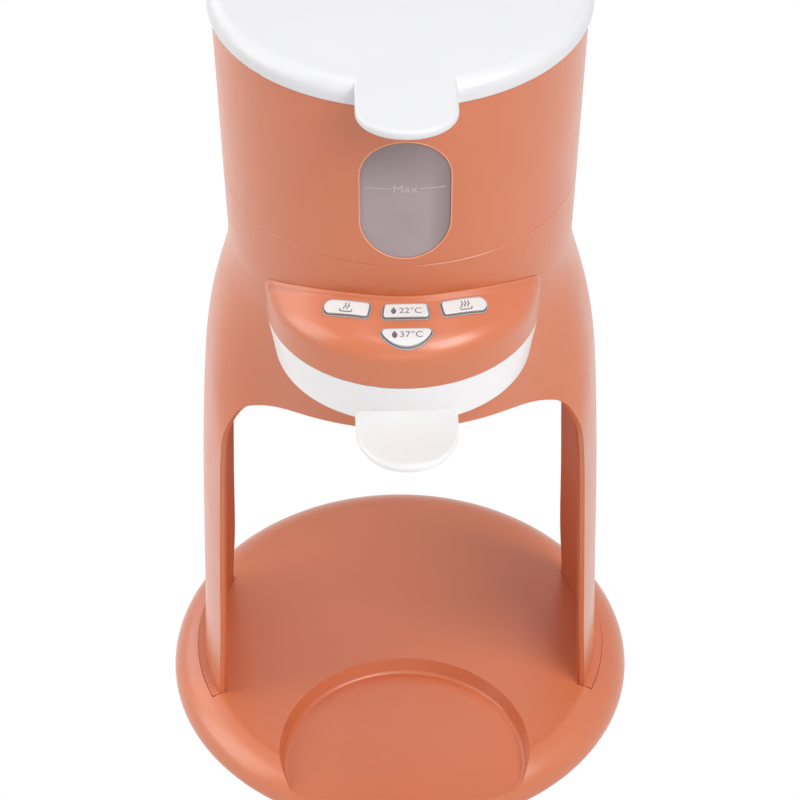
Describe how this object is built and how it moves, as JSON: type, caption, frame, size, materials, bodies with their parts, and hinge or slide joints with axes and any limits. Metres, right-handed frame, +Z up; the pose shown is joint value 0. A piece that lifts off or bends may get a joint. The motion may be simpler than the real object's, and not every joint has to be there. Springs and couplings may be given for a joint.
{
  "type": "baby formula maker",
  "caption": "Countertop baby formula maker: round base with a bottle pocket, curved legs, and a water-heating head with lid, level window, button console and powder drawer.",
  "frame": {"origin": "centre of the round base, on the worktop under its middle rubber foot", "axes": "+Z up, -Y towards the front with the buttons, +X to the right seen from the front"},
  "size_m": [0.172, 0.1836, 0.31],
  "materials": {
    "terracotta": "satin moulded plastic",
    "white_plastic": "satin white plastic",
    "button_white": "satin white caps",
    "bezel_grey": "satin grey",
    "smoke_window": "smoked translucent window",
    "tank_clear": "clear plastic",
    "soft_rubber": "matt",
    "hose_silicone": "matt translucent",
    "inner_grey": "matt moulded plastic",
    "screw_steel": "bright",
    "board_green": "solder mask",
    "part_black": "matt",
    "heater_aluminium": "cast",
    "element_steel": "drawn tube",
    "coil_copper": "wound wire",
    "transformer_yellow": "tape"
  },
  "bodies": {
    "stand": {"base_shell": "terracotta", "leg_housing": "terracotta", "collar_housing": "terracotta", "upper_housing": "terracotta", "control_panel": "terracotta", "leg_liner_left": "terracotta", "leg_liner_right": "terracotta", "underside_cover": "terracotta", "button_bezels": "bezel_grey", "window_lens": "smoke_window", "water_tank": "tank_clear", "base_feet": "soft_rubber", "tank_seal": "soft_rubber", "cord_gland": "soft_rubber", "inlet_hose": "hose_silicone", "outlet_hose": "hose_silicone", "base_plate": "inner_grey", "inner_chassis": "inner_grey", "drawer_rails": "inner_grey", "outlet_funnel": "inner_grey", "nozzle": "inner_grey", "valve_body": "inner_grey", "base_screws": "screw_steel", "cover_screws": "screw_steel", "chassis_screws": "screw_steel", "panel_screws": "screw_steel", "valve_spring": "screw_steel", "control_board": "board_green", "power_board": "board_green", "tact_switches": "part_black", "relay": "part_black", "capacitor": "part_black", "thermal_fuse": "part_black", "heater_block": "heater_aluminium", "heating_element": "element_steel", "temperature_sensor": "element_steel", "valve_coil": "coil_copper", "transformer": "transformer_yellow"},
    "drawer": {"powder_drawer": "white_plastic", "drawer_sieve": "screw_steel"},
    "lid": {"lid": "white_plastic", "lid_seal": "soft_rubber"},
    "button_steam_low": {"button_steam_low": "button_white"},
    "button_22": {"button_22": "button_white"},
    "button_steam_high": {"button_steam_high": "button_white"},
    "button_37": {"button_37": "button_white"},
    "plunger": {"valve_plunger": "screw_steel"}
  },
  "joints": [
    {"name": "drawer_slide", "type": "slide", "parent": "stand", "child": "drawer", "axis": [0, -1, 0], "range_m": [0, 0.085]},
    {"name": "lid_lift", "type": "slide", "parent": "stand", "child": "lid", "axis": [0, 0, 1], "range_m": [0, 0.03]},
    {"name": "button_steam_low_press", "type": "slide", "parent": "stand", "child": "button_steam_low", "axis": [0.2124, 0.3502, -0.9123], "range_m": [0, 0.0009], "stiffness_N_per_m": 900},
    {"name": "button_22_press", "type": "slide", "parent": "stand", "child": "button_22", "axis": [0, 0.3584, -0.9336], "range_m": [0, 0.0009], "stiffness_N_per_m": 900},
    {"name": "button_steam_high_press", "type": "slide", "parent": "stand", "child": "button_steam_high", "axis": [-0.2124, 0.3502, -0.9123], "range_m": [0, 0.0009], "stiffness_N_per_m": 900},
    {"name": "button_37_press", "type": "slide", "parent": "stand", "child": "button_37", "axis": [0, 0.3584, -0.9336], "range_m": [0, 0.0009], "stiffness_N_per_m": 900},
    {"name": "plunger_slide", "type": "slide", "parent": "stand", "child": "plunger", "axis": [0, 0, -1], "range_m": [0, 0.002], "stiffness_N_per_m": 150, "deforming": ["valve_spring"]}
  ]
}
